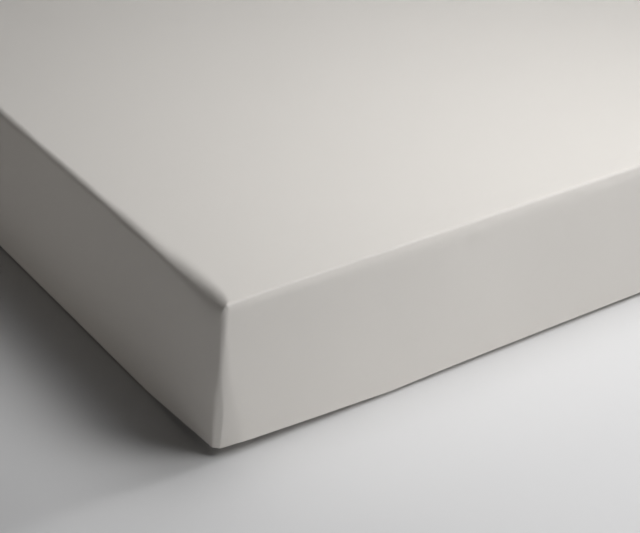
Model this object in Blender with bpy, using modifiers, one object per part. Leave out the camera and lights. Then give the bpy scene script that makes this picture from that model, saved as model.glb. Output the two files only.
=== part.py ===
"""A fitted sheet drawn over a single mattress, which lies on a flat surface.

The sheet is one closed skin of cloth: a flat top, four upright sides, and a band turned under the mattress
that leaves a large opening with round corners. Elastic in that band pulls the four bottom corners up off the
surface. The mattress is one plain block of foam, with a flat foot that comes down through the opening.

Metres, +Z up. The origin is the middle of the footprint on the surface, and X runs along the mattress.
"""

import math
from collections import namedtuple

import bmesh
import bpy
from mathutils import Vector

# Mattress
MATTRESS_LENGTH = 2.000
MATTRESS_WIDTH = 0.900
MATTRESS_HEIGHT = 0.220
MATTRESS_ROUND = 0.011  # radius of all its edges

# Cloth
CLOTH = 0.0015  # thickness of the sheet
FACE_GAP = 0.0015  # cloth to foam on the flat faces; the rounder edges of the foam leave over 2 mm
SHEET_ROUND = 0.010  # outer radius of all the sheet's edges
HEM_BAND = 0.100  # width of the cloth turned under the mattress
FOOT_GAP = 0.010  # edge of the hem to the foam foot inside it
OPENING_ROUND = 0.162  # radius of the opening's corners

# Bottom corners, pulled up by the elastic
CORNER_LIFT = 0.019
LIFT_ALONG_X = 0.262  # from a corner to where its long bottom edge is down on the surface again
LIFT_ALONG_Y = 0.164  # the same along the short bottom edge

# Slack that stands off the foam: a low roll along the long top edges, and soft upright ridges on the sides
ROLL_HEIGHT = 0.0012
ROLL_WIDTH = 0.030
ROLL_START = 0.150  # from a corner to where the roll begins
ROLL_FULL = 0.450  # from a corner to where it is fully raised
HIGHEST_SLACK = 0.62  # share of a side's height at which its ridges stand out most
SIDES = {
    "front": Vector((0, -1, 0)),
    "back": Vector((0, 1, 0)),
    "left": Vector((-1, 0, 0)),
    "right": Vector((1, 0, 0)),
}
Ridge = namedtuple("Ridge", "side middle half_width height")
RIDGES = (
    Ridge("front", -0.66, 0.12, 0.0016),
    Ridge("front", -0.42, 0.13, 0.0020),
    Ridge("front", 0.05, 0.30, 0.0014),
    Ridge("front", 0.58, 0.22, 0.0018),
    Ridge("back", -0.50, 0.26, 0.0018),
    Ridge("back", 0.12, 0.22, 0.0014),
    Ridge("back", 0.66, 0.18, 0.0020),
    Ridge("left", 0.08, 0.24, 0.0016),
    Ridge("right", -0.10, 0.22, 0.0016),
)

# Grid of the meshes
EIGHTH_TURN = math.tan(math.radians(22.5))  # the line that halves an eighth of a turn, in radii
LONG_PITCH = 0.105
SHORT_PITCH = 0.110
HIGH_PITCH = 0.070
SMOOTH_BELOW = math.radians(35)

SKIN = CLOTH + FACE_GAP
Box = namedtuple("Box", "half_x half_y low high radius band")


def clear_scene():
    for thing in list(bpy.data.objects):
        bpy.data.objects.remove(thing, do_unlink=True)


def even_steps(first, last, pitch):
    """The places strictly between first and last, evenly spaced and no further apart than pitch."""
    count = math.ceil((last - first) / pitch)
    return [first + (last - first) * i / count for i in range(1, count)]


def plan_lines(half, box, pitch):
    """Where the grid crosses the plan: fine at both ends, where edges and the opening's corners are round."""
    arc_centre = box.band + OPENING_ROUND
    from_end = [
        box.radius * (1 - EIGHTH_TURN),
        box.radius,
        box.band / 2,
        box.band,
        arc_centre - OPENING_ROUND * math.tan(math.radians(30)),
        arc_centre - OPENING_ROUND * math.tan(math.radians(15)),
        arc_centre,
    ]
    middle = even_steps(arc_centre - half, half - arc_centre, pitch)
    return [d - half for d in from_end] + middle + [half - d for d in from_end]


def height_lines(box):
    """Where the grid crosses the sides, from the round at the bottom to the round at the top."""
    lower = [box.low + box.radius * (1 - EIGHTH_TURN), box.low + box.radius]
    upper = [box.high - box.radius, box.high - box.radius * (1 - EIGHTH_TURN)]
    return lower + even_steps(lower[-1], upper[0], HIGH_PITCH) + upper


def gridded_box(box):
    """The sharp box, with the grid's lines cut into its faces."""
    bm = bmesh.new()
    bmesh.ops.create_cube(bm, size=2.0)
    bmesh.ops.scale(bm, vec=(box.half_x, box.half_y, (box.high - box.low) / 2), verts=bm.verts)
    bmesh.ops.translate(bm, vec=(0, 0, (box.low + box.high) / 2), verts=bm.verts)
    cuts = [(Vector((x, 0, 0)), Vector((1, 0, 0))) for x in plan_lines(box.half_x, box, LONG_PITCH)]
    cuts += [(Vector((0, y, 0)), Vector((0, 1, 0))) for y in plan_lines(box.half_y, box, SHORT_PITCH)]
    cuts += [(Vector((0, 0, z)), Vector((0, 0, 1))) for z in height_lines(box)]
    for place, normal in cuts:
        whole = bm.verts[:] + bm.edges[:] + bm.faces[:]
        bmesh.ops.bisect_plane(bm, geom=whole, plane_co=place, plane_no=normal, dist=1e-6)
    return bm


def faces_in_opening(bm, box):
    """The faces of the box's underside that lie inside the turned-under band."""
    bm.normal_update()
    found = []
    for face in bm.faces:
        middle = face.calc_center_median()
        inside = abs(middle.x) < box.half_x - box.band and abs(middle.y) < box.half_y - box.band
        if inside and face.normal.z < -0.5:
            found.append(face)
    return found


def clamp(value, limit):
    return max(-limit, min(limit, value))


def on_round_box(p, box):
    """A point of the sharp box, moved to the box with round edges and corners."""
    middle = (box.low + box.high) / 2
    core = Vector((
        clamp(p.x, box.half_x - box.radius),
        clamp(p.y, box.half_y - box.radius),
        middle + clamp(p.z - middle, (box.high - box.low) / 2 - box.radius),
    ))
    return core + (p - core).normalized() * box.radius


def bend_round_opening(p, box):
    """Bends the grid under the mattress, in place, so that the opening's corners are arcs."""
    centre_x = box.half_x - box.band - OPENING_ROUND
    centre_y = box.half_y - box.band - OPENING_ROUND
    out_x = abs(p.x) - centre_x
    out_y = abs(p.y) - centre_y
    if p.z > box.low + box.radius / 10 or min(out_x, out_y) <= 0:
        return
    reach = max(out_x, out_y)
    fade = clamp((OPENING_ROUND + box.band - box.radius - reach) / (box.band - box.radius), 1)
    pull = 1 - max(0.0, fade) * (1 - reach / math.hypot(out_x, out_y))
    p.x = math.copysign(centre_x + out_x * pull, p.x)
    p.y = math.copysign(centre_y + out_y * pull, p.y)


def corner_lift(p, box):
    """How far the elastic pulls a point up: most at a bottom corner, nothing beyond the fold across it."""
    along_x = (box.half_x - abs(p.x)) / LIFT_ALONG_X
    along_y = (box.half_y - abs(p.y)) / LIFT_ALONG_Y
    return CORNER_LIFT * max(0.0, 1 - along_x - along_y) * (1 - p.z / box.high)


def ridge_height(p, side, box):
    """How far the soft ridges of one side stand out at a point of it."""
    out = SIDES[side]
    along = p.x if out.y else p.y
    distance = (box.half_x if out.x else box.half_y) - p.dot(out)
    if distance > box.radius / 2:
        return 0.0
    rise = math.sin(math.pi * (p.z / box.high) ** (math.log(0.5) / math.log(HIGHEST_SLACK)))
    total = 0.0
    for ridge in RIDGES:
        off = (along - ridge.middle) / ridge.half_width
        if ridge.side == side and abs(off) < 1:
            total += ridge.height * rise * math.cos(off * math.pi / 2) ** 2
    return total


def roll_height(p, box):
    """How far the roll of slack cloth stands up along the long top edges."""
    inwards = (box.half_y - abs(p.y)) / ROLL_WIDTH
    from_corner = (box.half_x - abs(p.x) - ROLL_START) / (ROLL_FULL - ROLL_START)
    if p.z < box.high - box.radius or inwards > 1 or from_corner < 0:
        return 0.0
    return ROLL_HEIGHT * math.sin(math.pi * inwards) * min(1.0, from_corner)


def add_object(name, bm, collection, colour, roughness):
    """An object of its own, with its own material, from a finished bmesh."""
    mesh = bpy.data.meshes.new(name)
    bmesh.ops.recalc_face_normals(bm, faces=bm.faces)
    bm.to_mesh(mesh)
    bm.free()
    mesh.shade_smooth()
    mesh.set_sharp_from_angle(angle=SMOOTH_BELOW)
    material = bpy.data.materials.new(name)
    material.use_nodes = True
    shader = material.node_tree.nodes["Principled BSDF"]
    shader.inputs["Base Color"].default_value = (*colour, 1.0)
    shader.inputs["Roughness"].default_value = roughness
    shader.inputs["Metallic"].default_value = 0.0
    mesh.materials.append(material)
    thing = bpy.data.objects.new(name, mesh)
    collection.objects.link(thing)
    return thing


def make_mattress(collection):
    """The foam: a round-edged block that gives at its bottom corners, with a flat foot inside the hem."""
    box = Box(
        half_x=MATTRESS_LENGTH / 2,
        half_y=MATTRESS_WIDTH / 2,
        low=SKIN,
        high=MATTRESS_HEIGHT,
        radius=MATTRESS_ROUND,
        band=HEM_BAND - SKIN + FOOT_GAP,
    )
    bm = gridded_box(box)
    foot_faces = faces_in_opening(bm, box)
    for v in bm.verts:
        v.co = on_round_box(v.co, box)
        bend_round_opening(v.co, box)
        v.co.z += corner_lift(v.co, box)
    foot = bmesh.ops.extrude_face_region(bm, geom=foot_faces)
    bmesh.ops.delete(bm, geom=foot_faces, context="FACES")
    foot_verts = [part for part in foot["geom"] if isinstance(part, bmesh.types.BMVert)]
    bmesh.ops.translate(bm, vec=(0, 0, -SKIN), verts=foot_verts)
    return add_object("mattress", bm, collection, colour=(0.78, 0.77, 0.74), roughness=0.9)


def make_fitted_sheet(collection):
    """The cloth: its outer face follows the mattress, and its thickness lies inside that face."""
    box = Box(
        half_x=MATTRESS_LENGTH / 2 + SKIN,
        half_y=MATTRESS_WIDTH / 2 + SKIN,
        low=0.0,
        high=MATTRESS_HEIGHT + SKIN,
        radius=SHEET_ROUND,
        band=HEM_BAND,
    )
    bm = gridded_box(box)
    bmesh.ops.delete(bm, geom=faces_in_opening(bm, box), context="FACES")
    for v in bm.verts:
        v.co = on_round_box(v.co, box)
        bend_round_opening(v.co, box)
        roll = roll_height(v.co, box)
        for side, out in SIDES.items():
            v.co += out * ridge_height(v.co, side, box)
        v.co.z += roll + corner_lift(v.co, box)
    sheet = add_object("fitted_sheet", bm, collection, colour=(0.62, 0.60, 0.57), roughness=0.85)
    thickness = sheet.modifiers.new("cloth thickness", "SOLIDIFY")
    thickness.thickness = CLOTH
    thickness.offset = -1.0
    thickness.use_even_offset = True
    return sheet


def main():
    clear_scene()
    collection = bpy.data.collections.new("fitted sheet on mattress")
    bpy.context.scene.collection.children.link(collection)
    make_mattress(collection)
    make_fitted_sheet(collection)


main()
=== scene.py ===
import math
from collections import namedtuple

import bmesh
import bpy
from mathutils import Matrix, Vector, noise


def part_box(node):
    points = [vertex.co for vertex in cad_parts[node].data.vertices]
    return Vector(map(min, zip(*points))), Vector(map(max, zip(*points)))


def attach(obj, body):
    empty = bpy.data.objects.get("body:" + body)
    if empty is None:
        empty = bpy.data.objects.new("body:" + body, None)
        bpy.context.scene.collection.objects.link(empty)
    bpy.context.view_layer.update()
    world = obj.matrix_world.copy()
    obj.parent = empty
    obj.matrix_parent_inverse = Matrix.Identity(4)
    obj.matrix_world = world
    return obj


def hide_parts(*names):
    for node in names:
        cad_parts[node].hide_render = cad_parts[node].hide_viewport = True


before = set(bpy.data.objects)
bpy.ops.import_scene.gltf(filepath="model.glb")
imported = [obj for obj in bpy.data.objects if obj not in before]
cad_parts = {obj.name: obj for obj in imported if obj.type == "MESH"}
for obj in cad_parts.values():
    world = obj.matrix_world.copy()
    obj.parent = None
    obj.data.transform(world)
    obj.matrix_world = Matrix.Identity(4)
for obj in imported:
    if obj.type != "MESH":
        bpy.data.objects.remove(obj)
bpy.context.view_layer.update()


# ---- Mattress ------------------------------------------------------------------------------------
# One block of foam in a plain knitted cover, with every edge round. It gives at its bottom corners, where
# the elastic of the sheet pulls it up, and its flat foot comes down to the surface through the opening of
# the hem.

mattress_low, mattress_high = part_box("mattress")
HALF_LENGTH = (mattress_high.x - mattress_low.x) / 2
HALF_WIDTH = (mattress_high.y - mattress_low.y) / 2
SKIN = 0.003  # foam to the outer face of the cloth
HEM_BAND = 0.100  # width of the cloth turned under the mattress
FOOT_GAP = 0.010  # edge of the hem to the foam foot inside it
OPENING_ROUND = 0.162  # radius of the opening's corners, measured on the sheet
CORNER_LIFT = 0.019  # height of a bottom corner off the surface
LIFT_ALONG_X = 0.262  # from a corner to where its long bottom edge is down again
LIFT_ALONG_Y = 0.164  # the same along the short bottom edge

# A box to be covered: its half sizes, its bottom and top, the band turned under it, and its mesh's lines
Block = namedtuple("Block", "half_x half_y low high band columns_x columns_y rows_down rows_under")
Pitch = namedtuple("Pitch", "place pitch")  # how far apart the mesh's lines are, at a distance from an edge


def smooth_step(value, low, high):
    """0 below low, 1 above high, and a soft rise between them."""
    t = max(0.0, min(1.0, (value - low) / (high - low)))
    return t * t * (3 - 2 * t)


def between(a, b, share):
    return a + (b - a) * share


def row_at(table, place):
    """The row of a table for a place, between its two nearest rows; a row's first column is its place."""
    for row, following in zip(table, table[1:]):
        if place < following[0]:
            share = max(0.0, (place - row[0]) / (following[0] - row[0]))
            return type(row)(*(between(a, b, share) for a, b in zip(row, following)))
    return table[-1]


def mesh_lines(length, near, far):
    """Places from 0 to length, spaced as one table says from its start and the other from its end."""
    lines = [0.0]
    while lines[-1] < length:
        lines.append(lines[-1] + min(row_at(near, lines[-1]).pitch, row_at(far, length - lines[-1]).pitch))
    return [place * length / lines[-1] for place in lines]


def opening_point(home, block):
    """The place on the edge of the opening where the cloth that comes down at home ends."""
    centre_x = block.half_x - block.band - OPENING_ROUND
    centre_y = block.half_y - block.band - OPENING_ROUND
    on_long_side = block.half_y - abs(home.y) < block.half_x - abs(home.x)
    if on_long_side:
        past = max(0.0, (abs(home.x) - centre_x) / (block.half_x - centre_x))
    else:
        past = max(0.0, (abs(home.y) - centre_y) / (block.half_y - centre_y))
    turn = math.radians(45) * past
    reach_along = OPENING_ROUND * math.sin(turn)
    reach_out = OPENING_ROUND * math.cos(turn)
    if on_long_side:
        x = min(abs(home.x), centre_x) + reach_along
        y = centre_y + reach_out
    else:
        x = centre_x + reach_out
        y = min(abs(home.y), centre_y) + reach_along
    return Vector((math.copysign(x, home.x), math.copysign(y, home.y)))


def open_skin(block):
    """The sharp-edged skin of a block, open underneath: a fine grid for its top, whose rim is drawn down the
    sides and then turned in under the block. Two layers keep where each point left the top, and how far on
    from there it is."""
    bm = bmesh.new()
    along = len(block.columns_x) - 1
    across = len(block.columns_y) - 1
    bmesh.ops.create_grid(bm, x_segments=along, y_segments=across, size=1.0)
    home = bm.verts.layers.float_vector.new("home")
    drop = bm.verts.layers.float.new("drop")
    for v in bm.verts:
        x = block.columns_x[round((v.co.x + 1) / 2 * along)] - block.half_x
        y = block.columns_y[round((v.co.y + 1) / 2 * across)] - block.half_y
        v.co = (x, y, block.high)
        v[home] = v.co
    rim = [e for e in bm.edges if e.is_boundary]
    tall = block.high - block.low
    for row in block.rows_down[1:] + [tall + row for row in block.rows_under[1:]]:
        made = bmesh.ops.extrude_edge_only(bm, edges=rim)["geom"]
        new = {v for v in made if isinstance(v, bmesh.types.BMVert)}
        rim = [e for e in made if isinstance(e, bmesh.types.BMEdge) and new.issuperset(e.verts)]
        share = max(0.0, (row - tall) / block.band)
        z = block.high - min(row, tall)
        for v in new:
            edge = opening_point(v[home], block)
            v.co = (between(v[home].x, edge.x, share), between(v[home].y, edge.y, share), z)
            v[drop] = row
    return bm, rim


def rounded_off(in_a, in_b, reach_a, reach_b, square):
    """How far in from two faces the round edge between them moves a point, by its distances in from both.
    The round reaches in by the lengths given, and its section is a circle for a square of 2, and fuller for
    more."""
    a = 1 - in_a / reach_a
    b = 1 - in_b / reach_b
    if a <= 0 or b <= 0:
        return 0.0, 0.0
    given = 1 - max(a, b) / (a ** square + b ** square) ** (1 / square)
    return reach_a * a * given, reach_b * b * given


# How far the round edges reach: the upright ones, then those of the top on the short sides and on the long
# ones, in from the side and down from the top, and then those of the bottom
Rounds = namedtuple("Rounds", "upright short_in short_down long_in long_down bottom")


def pressed_round(p, block, rounds, square):
    """A point of the sharp block, moved to the block with round edges."""
    to_x = block.half_x - abs(p.x)
    to_y = block.half_y - abs(p.y)
    to_top = block.high - p.z
    to_low = p.z - block.low
    upright_x, upright_y = rounded_off(to_x, to_y, rounds.upright, rounds.upright, square)
    short_x, short_down = rounded_off(to_x, to_top, rounds.short_in, rounds.short_down, square)
    long_y, long_down = rounded_off(to_y, to_top, rounds.long_in, rounds.long_down, square)
    low_x, short_up = rounded_off(to_x, to_low, rounds.bottom, rounds.bottom, square)
    low_y, long_up = rounded_off(to_y, to_low, rounds.bottom, rounds.bottom, square)
    return Vector((
        math.copysign(abs(p.x) - math.hypot(upright_x, short_x, low_x), p.x),
        math.copysign(abs(p.y) - math.hypot(upright_y, long_y, low_y), p.y),
        p.z - math.hypot(short_down, long_down) + math.hypot(short_up, long_up),
    ))


def corner_lift(p, block):
    """How far the elastic pulls a point up: most at a bottom corner, nothing beyond the fold across it."""
    along_x = (block.half_x - abs(p.x)) / LIFT_ALONG_X
    along_y = (block.half_y - abs(p.y)) / LIFT_ALONG_Y
    return CORNER_LIFT * max(0.0, 1 - along_x - along_y) * (1 - p.z / block.high)


def finished_object(name, bm):
    """A piece at the origin, from a finished bmesh, with its faces smooth and pointing out."""
    bmesh.ops.recalc_face_normals(bm, faces=bm.faces)
    mesh = bpy.data.meshes.new(name)
    bm.to_mesh(mesh)
    bm.free()
    mesh.shade_smooth()
    piece = bpy.data.objects.new(name, mesh)
    bpy.context.scene.collection.objects.link(piece)
    return piece


class Level:
    """One number of a material's shader, so that sums written with it add the Math nodes."""

    def __init__(self, finish, socket):
        self.finish = finish
        self.socket = socket

    def math(self, operation, *others):
        made = self.finish.node("ShaderNodeMath", {"operation": operation})
        for i, value in enumerate((self, *others)):
            self.finish.feed(made.inputs[i], value)
        return Level(self.finish, made.outputs[0])

    def __add__(self, other):
        return self.math("ADD", other)

    def __mul__(self, other):
        return self.math("MULTIPLY", other)

    def __sub__(self, other):
        return self.math("SUBTRACT", other)

    def __rsub__(self, other):
        return (self * -1.0) + other

    __radd__ = __add__
    __rmul__ = __mul__


class Finish:
    """The material of one piece while it is put together."""

    def __init__(self, name):
        self.material = bpy.data.materials.new(name)
        self.material.use_nodes = True
        self.tree = self.material.node_tree
        self.shader = self.tree.nodes["Principled BSDF"]

    def feed(self, socket, value):
        if isinstance(value, Level):
            value = value.socket
        if isinstance(value, bpy.types.NodeSocket):
            self.tree.links.new(value, socket)
        else:
            socket.default_value = value

    def node(self, kind, settings=None, inputs=None):
        """A node of a kind, with its settings made first and then the values or links of its sockets."""
        made = self.tree.nodes.new(kind)
        for name, value in (settings or {}).items():
            setattr(made, name, value)
        for name, value in (inputs or {}).items():
            self.feed(made.inputs[name], value)
        return made

    def surface(self, **inputs):
        """Sets sockets of the shader, whose names are given in small letters with underscores."""
        for name, value in inputs.items():
            self.feed(self.shader.inputs[name.replace("_", " ").title()], value)


def threads_across(finish, place, pitch):
    """How many threads lie between the middle of the cloth and a point of it."""
    return Level(finish, place) * (1 / pitch)


def plain_weave(finish, uv_map, pitch):
    """The height of a plain weave from 0 to 1, one thread over the next, on a map that is in metres."""
    along = finish.node("ShaderNodeUVMap", {"uv_map": uv_map})
    parts = finish.node("ShaderNodeSeparateXYZ", inputs={"Vector": along.outputs["UV"]})
    warp = threads_across(finish, parts.outputs["X"], pitch)
    weft = threads_across(finish, parts.outputs["Y"], pitch)
    over = (warp * math.pi).math("SINE") * (weft * math.pi).math("SINE") * 0.5 + 0.5
    warp_off = warp.math("FRACT") * 2.0 - 1.0
    weft_off = weft.math("FRACT") * 2.0 - 1.0
    warp_round = 1.0 - warp_off * warp_off
    weft_round = 1.0 - weft_off * weft_off
    return warp_round * over + weft_round * (1.0 - over)


SAME_PLACE = 1e-6  # points nearer to each other than this are in one place


def lay_out(bm, block):
    """A map in metres of the skin laid out flat: the top in the middle, and each side folded out from it."""
    home = bm.verts.layers.float_vector["home"]
    drop = bm.verts.layers.float["drop"]
    cloth = bm.loops.layers.uv.new("cloth")
    for face in bm.faces:
        on_long_side = all(abs(abs(v[home].y) - block.half_y) < SAME_PLACE for v in face.verts)
        for loop in face.loops:
            x, y, _ = loop.vert[home]
            if on_long_side:
                y += math.copysign(loop.vert[drop], y)
            else:
                x += math.copysign(loop.vert[drop], x)
            loop[cloth].uv = (x, y)


FOAM_PITCH = (Pitch(0.0, 0.004), Pitch(0.02, 0.005), Pitch(0.10, 0.020), Pitch(0.40, 0.030))
FOAM_ROUNDS = Rounds(
    upright=0.032, short_in=0.026, short_down=0.034, long_in=0.018, long_down=0.018, bottom=0.018
)
FOAM_SQUARE = 2.2  # a little fuller than a circle
mattress_block = Block(
    half_x=HALF_LENGTH,
    half_y=HALF_WIDTH,
    low=SKIN,
    high=mattress_high.z,
    band=HEM_BAND - SKIN + FOOT_GAP,
    columns_x=mesh_lines(2 * HALF_LENGTH, FOAM_PITCH, FOAM_PITCH),
    columns_y=mesh_lines(2 * HALF_WIDTH, FOAM_PITCH, FOAM_PITCH),
    rows_down=mesh_lines(mattress_high.z - SKIN, FOAM_PITCH, FOAM_PITCH),
    rows_under=mesh_lines(HEM_BAND - SKIN + FOOT_GAP, FOAM_PITCH, FOAM_PITCH),
)

bm, rim = open_skin(mattress_block)
lay_out(bm, mattress_block)
for v in bm.verts:
    v.co = pressed_round(v.co, mattress_block, FOAM_ROUNDS, FOAM_SQUARE)
    v.co.z += corner_lift(v.co, mattress_block)
foot = bmesh.ops.extrude_edge_only(bm, edges=rim)["geom"]
foot_verts = [v for v in foot if isinstance(v, bmesh.types.BMVert)]
for v in foot_verts:
    v.co.z = 0.0
foot_edges = [e for e in foot if isinstance(e, bmesh.types.BMEdge) and all(v.co.z == 0.0 for v in e.verts)]
bmesh.ops.edgeloop_fill(bm, edges=foot_edges)
mattress = finished_object("mattress_foam", bm)

# Where the knit is low its colour goes to the shade colour: painted shade in the gaps between its threads.
COVER_WHITE = (0.74, 0.73, 0.70, 1.0)
COVER_GAP_SHADE = (0.66, 0.65, 0.62, 1.0)
COVER_PITCH = 0.0012  # from thread to thread
COVER_RELIEF = 0.00015
cover = Finish("knitted_cover")
knit = plain_weave(cover, "cloth", COVER_PITCH)  # a coarse weave stands in for the knit
weave_painted_shade = cover.node(
    "ShaderNodeMix", {"data_type": "RGBA"}, {"Factor": knit, "A": COVER_GAP_SHADE, "B": COVER_WHITE}
)
relief = cover.node("ShaderNodeBump", inputs={"Height": knit, "Distance": COVER_RELIEF})
cover.surface(base_color=weave_painted_shade.outputs["Result"], roughness=0.92, normal=relief.outputs["Normal"])
mattress.data.materials.append(cover.material)

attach(mattress, "root")
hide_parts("mattress")


# ---- Fitted sheet --------------------------------------------------------------------------------
# One thin cotton cloth drawn tight over the foam: a flat top, four sides joined by an upright seam at
# each corner, and a band turned under the mattress, gathered where elastic draws it in round the corners.

CLOTH = 0.0010  # thickness
BOTTOM_ROUND = 0.0012  # the fold along the bottom edges
EDGE_SQUARE = 2.5  # its edges are fuller than a circle

# How far apart the lines of the cloth's mesh are: closest at the near corner, which is seen best
ALONG_PITCH = (
    Pitch(0.0, 0.0004),
    Pitch(0.0016, 0.0010),
    Pitch(0.022, 0.0024),
    Pitch(0.050, 0.0060),
    Pitch(0.120, 0.0095),
    Pitch(0.700, 0.0095),
    Pitch(0.900, 0.0240),
)
ACROSS_PITCH = (
    Pitch(0.0, 0.0003),
    Pitch(0.0015, 0.0005),
    Pitch(0.004, 0.0016),
    Pitch(0.014, 0.0030),
    Pitch(0.050, 0.0080),
    Pitch(0.350, 0.0095),
    Pitch(0.500, 0.0220),
)
FAR_PITCH = (
    Pitch(0.0, 0.0006),
    Pitch(0.002, 0.0020),
    Pitch(0.012, 0.0040),
    Pitch(0.060, 0.0140),
    Pitch(0.160, 0.0240),
)
DOWN_PITCH = (
    Pitch(0.0, 0.0003),
    Pitch(0.0015, 0.0006),
    Pitch(0.004, 0.0018),
    Pitch(0.030, 0.0080),
    Pitch(0.060, 0.0150),
)
UP_PITCH = (
    Pitch(0.0, 0.0004),
    Pitch(0.003, 0.0008),
    Pitch(0.007, 0.0040),
    Pitch(0.030, 0.0120),
    Pitch(0.060, 0.0150),
)
UNDER_PITCH = (Pitch(0.0, 0.0005), Pitch(0.002, 0.0020), Pitch(0.008, 0.0060), Pitch(0.030, 0.0250))
HEM_PITCH = (Pitch(0.0, 0.0030), Pitch(0.014, 0.0050), Pitch(0.020, 0.0250))
sheet_block = Block(
    half_x=HALF_LENGTH + SKIN,
    half_y=HALF_WIDTH + SKIN,
    low=0.0,
    high=mattress_high.z + SKIN,
    band=HEM_BAND,
    columns_x=mesh_lines(2 * (HALF_LENGTH + SKIN), ALONG_PITCH, FAR_PITCH),
    columns_y=mesh_lines(2 * (HALF_WIDTH + SKIN), ACROSS_PITCH, FAR_PITCH),
    rows_down=mesh_lines(mattress_high.z + SKIN, DOWN_PITCH, UP_PITCH),
    rows_under=mesh_lines(HEM_BAND, UNDER_PITCH, HEM_PITCH),
)


def bump(off):
    """1 in the middle, and softly down to 0 at one half-width off it."""
    return math.cos(min(1.0, abs(off)) * math.pi / 2) ** 2


RUNS_APART = 7.3  # from one run of the noise to the next, so that no two are alike


def waver(place, pitch, run):
    """Even unevenness from -1 to 1 along an edge."""
    return noise.noise(Vector((place / pitch, RUNS_APART * run, 0.0)))


# How the top edges turn over, by the distance from a corner. On the short edges the round starts some way
# in on the top and ends some way down the side. The long edges are a small fold, below which the side leans
# in.
ShortEdge = namedtuple("ShortEdge", "place inwards down")
SHORT_EDGE = (
    ShortEdge(0.000, 0.0090, 0.0120),
    ShortEdge(0.010, 0.0160, 0.0250),
    ShortEdge(0.021, 0.0190, 0.0350),
    ShortEdge(0.035, 0.0200, 0.0340),
    ShortEdge(0.062, 0.0222, 0.0265),
    ShortEdge(0.085, 0.0234, 0.0205),
    ShortEdge(0.102, 0.0228, 0.0190),
    ShortEdge(0.127, 0.0218, 0.0115),
    ShortEdge(0.153, 0.0190, 0.0085),
    ShortEdge(0.180, 0.0150, 0.0100),
    ShortEdge(0.207, 0.0150, 0.0130),
    ShortEdge(0.235, 0.0132, 0.0120),
    ShortEdge(0.278, 0.0098, 0.0088),
    ShortEdge(0.322, 0.0102, 0.0104),
    ShortEdge(0.400, 0.0093, 0.0108),
    ShortEdge(0.450, 0.0080, 0.0076),
)
LongEdge = namedtuple("LongEdge", "place fold lean lean_depth")
LONG_EDGE = (
    LongEdge(0.000, 0.0050, 0.0004, 0.010),
    LongEdge(0.012, 0.0028, 0.0020, 0.012),
    LongEdge(0.045, 0.0020, 0.0032, 0.014),
    LongEdge(0.080, 0.0020, 0.0034, 0.015),
    LongEdge(0.125, 0.0020, 0.0034, 0.015),
    LongEdge(0.170, 0.0022, 0.0034, 0.017),
    LongEdge(0.260, 0.0024, 0.0036, 0.019),
)
LEAN_TAKEN = 0.020  # width of the top's cloth that gives way for the lean

# The plan of an upright edge at some heights. A seam of radius reach joins two soft bends, each with its
# radius and its turn in degrees. On the short side a flat stretch lies between the bend and the seam.
CornerPlan = namedtuple("CornerPlan", "height reach flat short_radius short_turn long_radius long_turn")
CORNER_PLANS = (
    CornerPlan(0.000, 0.0010, 0.0064, 0.006, 38, 0.140, 18),
    CornerPlan(0.040, 0.0010, 0.0064, 0.010, 38, 0.120, 16),
    CornerPlan(0.068, 0.0012, 0.0020, 0.020, 40, 0.080, 15),
    CornerPlan(0.115, 0.0015, 0.0000, 0.009, 37, 0.030, 24),
    CornerPlan(0.160, 0.0025, 0.0000, 0.006, 34, 0.016, 32),
    CornerPlan(0.195, 0.0080, 0.0000, 0.006, 22, 0.010, 20),
    CornerPlan(0.223, 0.0090, 0.0000, 0.004, 0, 0.004, 0),
)
CORNER_FADE = 0.045  # from an upright edge to where its plan is plain again
SEAM_FROM = 0.004  # height where the fold of the bottom edge starts to give way to the seam
SEAM_FULL = 0.020
HEM_LIFT = 0.0128  # how far the elastic pulls up a bottom corner
SIDE_LIFT = 0.0047  # how much more of a long side is lifted, but for its end at the seam
SIDE_LIFT_REACH = 0.050  # how far in under the mattress that goes
SEAM_REACH = 0.030  # from the seam to where it is whole
PEAK = 0.0004  # how far the seams raise the corners of the top
PEAK_REACH = 0.060  # from a corner, over the top
PEAK_DEPTH = 0.030  # down the sides

GATHER = 0.0009  # how far the gathers of the turned-under band stand up
GATHER_PITCH = 0.034
GATHER_WAVER = 0.090  # over what length their spacing changes
GATHER_REACH = 0.330  # from a corner to where the band is plain
GATHER_FROM = 0.020  # from the bottom edge to where they start
GATHER_FULL = 0.080

EDGE_GAP = 0.0074  # from the surface to the fold along the long bottom edges
SHORT_EDGE_GAP = 0.0014
GAP_FULL = 0.420  # from a corner to where a long edge's gap is whole
GAP_REACH_UP = 0.050  # how far up the side the cloth is raised with the fold
GAP_REACH_IN = 0.014  # the same in under the mattress
LIP = 0.0005  # how far the fold stands out
LIP_WIDTH = 0.0012

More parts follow.
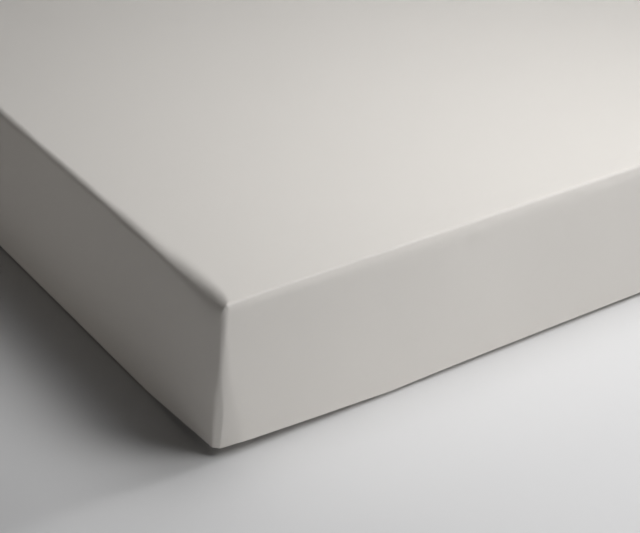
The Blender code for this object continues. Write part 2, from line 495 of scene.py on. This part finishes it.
# Slack that stands off the foam: a low roll along the long top edges, a slight wave along the short ones,
# and soft upright ridges on the sides, placed from the middle of a side
TURN_OVER = 0.008  # from an edge to where slack stands off square to the face
ROLL_HEIGHT = 0.0007
ROLL_WIDTH = 0.028
ROLL_START = 0.150  # from a corner to where the roll begins
ROLL_FULL = 0.450
WAVE = 0.0006
WAVE_PITCH = 0.030
WAVE_WIDTH = 0.010
WAVE_REACH = 0.030  # from the edge to where the wave is left out
WAVE_WHOLE = 0.10  # from a corner to where the wave starts to die out
WAVE_END = 0.22
UNEVEN = 0.00025  # how far the whole cloth is off a true face
UNEVEN_PER_METRE = Vector((6, 6, 7))  # about how many swells of that there are, along, across and down
Ridge = namedtuple("Ridge", "side middle half_width height")
RIDGES = (
    Ridge("front", -0.66, 0.12, 0.0016),
    Ridge("front", -0.42, 0.13, 0.0020),
    Ridge("front", 0.05, 0.30, 0.0014),
    Ridge("front", 0.58, 0.22, 0.0018),
    Ridge("back", -0.50, 0.26, 0.0018),
    Ridge("back", 0.12, 0.22, 0.0014),
    Ridge("back", 0.66, 0.18, 0.0020),
    Ridge("left", 0.08, 0.24, 0.0016),
    Ridge("right", -0.10, 0.22, 0.0016),
)
HIGHEST_SLACK = 0.62  # share of the height where a ridge stands out most
SLACK_POWER = math.log(0.5) / math.log(HIGHEST_SLACK)  # moves the top of half a sine wave there

# Small puckers: their place along from the middle of the side and below the top edge, their half sizes,
# their depth, and how far they lean along the side for what they go down it
Pucker = namedtuple("Pucker", "side along below half_along half_down depth lean")
PUCKERS = (
    Pucker("front", -0.642, 0.024, 0.016, 0.022, 0.0009, 0.3),
    Pucker("front", -0.468, 0.050, 0.018, 0.028, 0.0008, -0.4),
    Pucker("front", -0.610, 0.010, 0.012, 0.008, 0.0008, 0.0),
    Pucker("front", -0.462, 0.012, 0.014, 0.009, 0.0010, 0.2),
    Pucker("front", -0.392, 0.009, 0.012, 0.008, 0.0009, -0.2),
    Pucker("front", -0.120, 0.014, 0.030, 0.012, 0.0009, 0.3),
    Pucker("front", 0.360, 0.012, 0.030, 0.012, 0.0010, -0.3),
    Pucker("back", -0.300, 0.012, 0.030, 0.012, 0.0010, 0.3),
    Pucker("back", 0.420, 0.014, 0.030, 0.014, 0.0010, -0.2),
    Pucker("left", -0.180, 0.016, 0.030, 0.016, 0.0008, 0.2),
    Pucker("right", 0.160, 0.016, 0.030, 0.016, 0.0008, -0.2),
)


def side_of(home, block):
    """The side that a point came down, and its place along that side."""
    if block.half_y - abs(home.y) < block.half_x - abs(home.x):
        return ("back" if home.y > 0 else "front"), home.x
    return ("right" if home.x > 0 else "left"), home.y


def bend_inset(along, flat, radius, turn):
    """How far a side is drawn in at a distance from the seam: it bends by turn, then runs on flat to it."""
    angle = math.radians(turn)
    past = flat + radius * math.sin(angle) - along
    if past < 0:
        return 0.0
    if along > flat:
        return radius - math.sqrt(radius ** 2 - past ** 2)
    return radius * (1 - math.cos(angle)) + (flat - along) * math.tan(angle)


def seam_shape(p, block):
    """How far the plan of an upright edge moves a point, along X and along Y."""
    to_x = max(0.0, block.half_x - abs(p.x))
    to_y = max(0.0, block.half_y - abs(p.y))
    if min(to_x, to_y) > CORNER_FADE:
        return Vector()
    plan = row_at(CORNER_PLANS, p.z)
    inset_x = bend_inset(to_y, plan.flat, plan.short_radius, plan.short_turn)
    inset_y = bend_inset(to_x, 0.0, plan.long_radius, plan.long_turn)
    inset_x *= 1 - smooth_step(to_x, 0.0, CORNER_FADE)
    inset_y *= 1 - smooth_step(to_y, 0.0, CORNER_FADE)
    return Vector((-math.copysign(inset_x, p.x), -math.copysign(inset_y, p.y), 0))


def side_slack(side, along, drop, height):
    """How far the ridges of a side stand out at a point of it, less the depth of the side's puckers there."""
    rise = math.sin(math.pi * max(0.0, height) ** SLACK_POWER)
    off = 0.0
    for ridge in RIDGES:
        if ridge.side == side:
            off += ridge.height * rise * bump((along - ridge.middle) / ridge.half_width)
    for pucker in PUCKERS:
        if pucker.side == side:
            down = drop - pucker.below
            lean = along - pucker.along - pucker.lean * down
            off -= pucker.depth * bump(down / pucker.half_down) * bump(lean / pucker.half_along)
    return off


def slack(home, drop, p, block):
    """How far the cloth stands off its tight shape at a point, and how far it is raised."""
    side, along = side_of(home, block)
    long_side = side in ("front", "back")
    half = block.half_x if long_side else block.half_y
    to_edge = (block.half_y - abs(home.y)) if long_side else (block.half_x - abs(home.x))
    from_corner = half - abs(along)
    across = drop if drop > 0 else -to_edge
    off = side_slack(side, along, drop, p.z / block.high) if 0 < drop < block.high else 0.0
    up = 0.0
    if long_side:
        if drop == 0 and to_edge < ROLL_WIDTH:
            full = smooth_step(from_corner, ROLL_START, ROLL_FULL)
            up = ROLL_HEIGHT * math.sin(math.pi * to_edge / ROLL_WIDTH) * full
    elif abs(across) < WAVE_REACH:
        wave = waver(along, WAVE_PITCH, run=3) * (1 - smooth_step(from_corner, WAVE_WHOLE, WAVE_END))
        off += WAVE * wave * math.exp(-((across / WAVE_WIDTH) ** 2))
    off += LIP * math.exp(-(((drop - block.high + LIP_WIDTH) / LIP_WIDTH) ** 2))
    if drop < block.high:
        off += UNEVEN * noise.noise(Vector((home.x, home.y, drop)) * UNEVEN_PER_METRE)
    return off, up


def hem_lift(p, block):
    """How far the elastic pulls a point of the cloth up: more on a long side, but not at the seam."""
    to_x = block.half_x - abs(p.x)
    to_y = block.half_y - abs(p.y)
    on_long_side = max(0.0, 1 - to_y / SIDE_LIFT_REACH) * smooth_step(to_x, 0.0, SEAM_REACH)
    lift = HEM_LIFT * max(0.0, 1 - to_x / LIFT_ALONG_X - to_y / LIFT_ALONG_Y)
    lift += SIDE_LIFT * max(0.0, 1 - to_x / LIFT_ALONG_X) * on_long_side
    return lift * (1 - p.z / block.high)


def gather(home, drop, block):
    """How far the elastic's soft gathers stand up at a point of the band under the mattress."""
    side, along = side_of(home, block)
    half = block.half_x if side in ("front", "back") else block.half_y
    by_corner = 1 - smooth_step(half - abs(along), 0.0, GATHER_REACH)
    off_fold = smooth_step(drop - block.high, GATHER_FROM, GATHER_FULL)
    wave = 0.5 + 0.5 * math.sin(2 * math.pi * along / GATHER_PITCH + 2 * waver(along, GATHER_WAVER, run=5))
    return GATHER * wave * off_fold * by_corner


def long_edge_lean(home, drop, block):
    """How far the top of a long side leans in at a point of the side, or of the top next to it."""
    edge = row_at(LONG_EDGE, block.half_x - abs(home.x))
    if drop > 0:
        return edge.lean * max(0.0, 1 - drop / edge.lean_depth) ** 2
    return edge.lean * max(0.0, 1 - (block.half_y - abs(home.y)) / LEAN_TAKEN) ** 2


def edge_gap(home, drop, block):
    """How far the fold along a bottom edge holds the cloth off the surface."""
    if side_of(home, block)[0] in ("front", "back"):
        gap = between(SHORT_EDGE_GAP, EDGE_GAP, smooth_step(block.half_x - abs(home.x), 0.0, GAP_FULL))
    else:
        gap = SHORT_EDGE_GAP
    if drop < block.high:
        return gap * max(0.0, 1 - (block.high - drop) / GAP_REACH_UP)
    return gap * (1 - smooth_step(drop - block.high, 0.0, GAP_REACH_IN))


def outwards(p, block):
    """The way slack stands off at a point of the sharp skin: square to its face, but turned at its edges."""
    distances = (block.half_x - abs(p.x), block.half_y - abs(p.y), block.high - p.z, p.z - block.low)
    near_x, near_y, near_top, near_low = (max(0.0, 1 - distance / TURN_OVER) for distance in distances)
    return Vector((math.copysign(near_x, p.x), math.copysign(near_y, p.y), near_top - near_low)).normalized()


def draw_tight(v, home, drop, block):
    """Moves a point of the sharp skin to where the cloth is on the mattress."""
    to_x = block.half_x - abs(home.x)
    to_y = block.half_y - abs(home.y)
    short_edge = row_at(SHORT_EDGE, to_y)
    long_edge = row_at(LONG_EDGE, to_x)
    seam_round = row_at(CORNER_PLANS, v.co.z).reach
    rounds = Rounds(
        upright=between(BOTTOM_ROUND, seam_round, smooth_step(v.co.z, SEAM_FROM, SEAM_FULL)),
        short_in=short_edge.inwards,
        short_down=short_edge.down,
        long_in=long_edge.fold,
        long_down=long_edge.fold,
        bottom=BOTTOM_ROUND,
    )
    way = outwards(v.co, block)
    co = pressed_round(v.co, block, rounds, EDGE_SQUARE)
    off, up = slack(home, drop, co, block)
    co += way * off + Vector((0, 0, up))
    if drop < block.high:
        co.y -= math.copysign(long_edge_lean(home, drop, block), co.y)
    co += seam_shape(co, block)
    if drop < PEAK_DEPTH:
        co.z += PEAK * (1 - drop / PEAK_DEPTH) * max(0.0, 1 - math.hypot(to_x, to_y) / PEAK_REACH) ** 2
    co.z += hem_lift(co, block) + edge_gap(home, drop, block) + gather(home, drop, block)
    v.co = co


bm, _ = open_skin(sheet_block)
lay_out(bm, sheet_block)
home_layer = bm.verts.layers.float_vector["home"]
drop_layer = bm.verts.layers.float["drop"]
for v in bm.verts:
    draw_tight(v, Vector(v[home_layer]), v[drop_layer], sheet_block)
sheet = finished_object("fitted_sheet_cloth", bm)
thickness = sheet.modifiers.new("cloth thickness", "SOLIDIFY")
thickness.thickness = CLOTH
thickness.offset = -1.0
thickness.use_even_offset = True

FLAT_WIDTH = 2 * (sheet_block.half_y + sheet_block.high + HEM_BAND)
FLAT_LENGTH = 2 * (sheet_block.half_x + sheet_block.high + HEM_BAND)
CORNER_CUT = (sheet_block.high + HEM_BAND) ** 2  # area cut out of the flat cloth at each corner
CASING = 0.014  # from the hem's edge to the stitches that hold the elastic in
STITCH_WIDTH = 0.0009
STITCH_PITCH = 0.0035
STITCH_SHARE = 0.65  # of the pitch that a stitch covers
THREAD_PITCH = 0.0004
THREAD_RELIEF = 0.00006
# Where the weave is low the cloth goes to the shade colour: painted shade in the gaps between its threads.
COTTON = (0.76, 0.73, 0.69, 1.0)
COTTON_GAP_SHADE = (0.72, 0.69, 0.65, 1.0)
STITCH_SHADE = (0.50, 0.48, 0.45, 1.0)


def stitch_line(finish, uv_map):
    """1 on the stitches that run along the hem, on a map in metres of the cloth laid out flat."""
    along = finish.node("ShaderNodeUVMap", {"uv_map": uv_map})
    parts = finish.node("ShaderNodeSeparateXYZ", inputs={"Vector": along.outputs["UV"]})
    x = Level(finish, parts.outputs["X"])
    y = Level(finish, parts.outputs["Y"])
    to_hem = (FLAT_LENGTH / 2 - x.math("ABSOLUTE")).math("MINIMUM", FLAT_WIDTH / 2 - y.math("ABSOLUTE"))
    on_line = (to_hem - CASING).math("ABSOLUTE").math("LESS_THAN", STITCH_WIDTH / 2)
    return on_line * ((x + y) * (1 / STITCH_PITCH)).math("FRACT").math("LESS_THAN", STITCH_SHARE)


cotton = Finish("cotton_cloth")
weave = plain_weave(cotton, "cloth", THREAD_PITCH)
weave_painted_shade = cotton.node("ShaderNodeMix", {"data_type": "RGBA"}, {"Factor": weave, "A": COTTON_GAP_SHADE, "B": COTTON})
stitches = stitch_line(cotton, "cloth")
colour = cotton.node(
    "ShaderNodeMix",
    {"data_type": "RGBA"},
    {"Factor": stitches, "A": weave_painted_shade.outputs["Result"], "B": STITCH_SHADE},
)
relief = cotton.node("ShaderNodeBump", inputs={"Height": weave - stitches, "Distance": THREAD_RELIEF})
cotton.surface(base_color=colour.outputs["Result"], roughness=0.88, normal=relief.outputs["Normal"])
cotton.surface(sheen_weight=0.15, sheen_roughness=0.5)
sheet.data.materials.append(cotton.material)

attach(sheet, "root")
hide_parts("fitted_sheet")
FLAT_WIDTH * FLAT_LENGTH - 4 * CORNER_CUT


# ---- Surface, light and camera -------------------------------------------------------------------
# A plain pale floor. Three soft boxes light the mattress from above and in front, a strong one from far to
# the right, and two low cards lift the shade on its sides. The camera looks down at the near corner.

FLOOR_HALF = 8.0
FLOOR_DROP = 0.0003  # keeps the floor clear of what stands on it
PALE = (0.73, 0.73, 0.735, 1.0)
bm = bmesh.new()
bmesh.ops.create_grid(bm, x_segments=1, y_segments=1, size=FLOOR_HALF)
bmesh.ops.translate(bm, vec=(0, 0, -FLOOR_DROP), verts=bm.verts)
floor = finished_object("floor", bm)
pale = Finish("pale_floor")
pale.surface(base_color=PALE, roughness=0.75)
floor.data.materials.append(pale.material)

# Lamps, with places from the near bottom corner and spreads in degrees. Grids narrow the two low cards.
near_corner = Vector((-sheet_block.half_x, -sheet_block.half_y, 0.0))
Lamp = namedtuple("Lamp", "name place width watts spread colour")
LAMPS = (
    Lamp("softbox_above", (0.65, 0.00, 1.30), 0.80, 5.80, 180, (1.0, 1.0, 1.0)),
    Lamp("softbox_front", (0.89, -0.78, 1.54), 0.73, 11.65, 180, (1.0, 1.0, 1.0)),
    Lamp("softbox_top", (1.00, 0.45, 2.20), 1.60, 8.16, 180, (1.0, 1.0, 1.0)),
    Lamp("window_right", (5.00, -0.24, 1.90), 0.87, 75.4, 180, (1.0, 1.0, 1.0)),
    Lamp("card_left", (-2.29, 1.62, 0.15), 0.20, 0.76, 60, (1.0, 0.955, 0.905)),
    Lamp("card_front", (0.00, -2.63, 0.155), 0.20, 1.95, 72, (1.0, 1.0, 1.0)),
)
LIT_PLACE = Vector((0.35, 0.15, 0.10))  # what they all face
for lamp in LAMPS:
    light = bpy.data.lights.new(lamp.name, "AREA")
    light.shape = "DISK"
    light.size = lamp.width
    light.energy = lamp.watts
    light.color = lamp.colour
    light.spread = math.radians(lamp.spread)
    stand = bpy.data.objects.new(lamp.name, light)
    stand.location = near_corner + Vector(lamp.place)
    stand.rotation_euler = (Vector(lamp.place) - LIT_PLACE).to_track_quat("Z", "Y").to_euler()
    bpy.context.scene.collection.objects.link(stand)

WORLD_STRENGTH = 0.002  # next to nothing, as the lamps do the lighting
world = bpy.data.worlds.new("studio")
world.use_nodes = True
background = world.node_tree.nodes["Background"]
background.inputs["Color"].default_value = (1.0, 1.0, 1.0, 1.0)
background.inputs["Strength"].default_value = WORLD_STRENGTH
bpy.context.scene.world = world
bpy.context.scene.view_settings.view_transform = "Standard"

VIEW_DOWN = math.radians(31.97)
VIEW_TURN = math.radians(38.00)  # from +Y towards +X
VIEW_ROLL = math.radians(4.06)
LENS = 93.79  # in millimetres, as the sensor is
SENSOR = 36.0
CAMERA_FROM_CORNER = Vector((-0.8791, -1.2952, 1.2601))
forward = Vector((
    math.sin(VIEW_TURN) * math.cos(VIEW_DOWN),
    math.cos(VIEW_TURN) * math.cos(VIEW_DOWN),
    -math.sin(VIEW_DOWN),
))
level_right = Vector((math.cos(VIEW_TURN), -math.sin(VIEW_TURN), 0))
level_up = level_right.cross(forward)
right = level_right * math.cos(VIEW_ROLL) + level_up * math.sin(VIEW_ROLL)
up = level_up * math.cos(VIEW_ROLL) - level_right * math.sin(VIEW_ROLL)
camera_data = bpy.data.cameras.new("camera")
camera_data.lens = LENS
camera_data.sensor_width = SENSOR
camera = bpy.data.objects.new("camera", camera_data)
turned = Matrix((right, up, -forward)).transposed().to_4x4()
camera.matrix_world = Matrix.Translation(near_corner + CAMERA_FROM_CORNER) @ turned
bpy.context.scene.collection.objects.link(camera)
bpy.context.scene.camera = camera
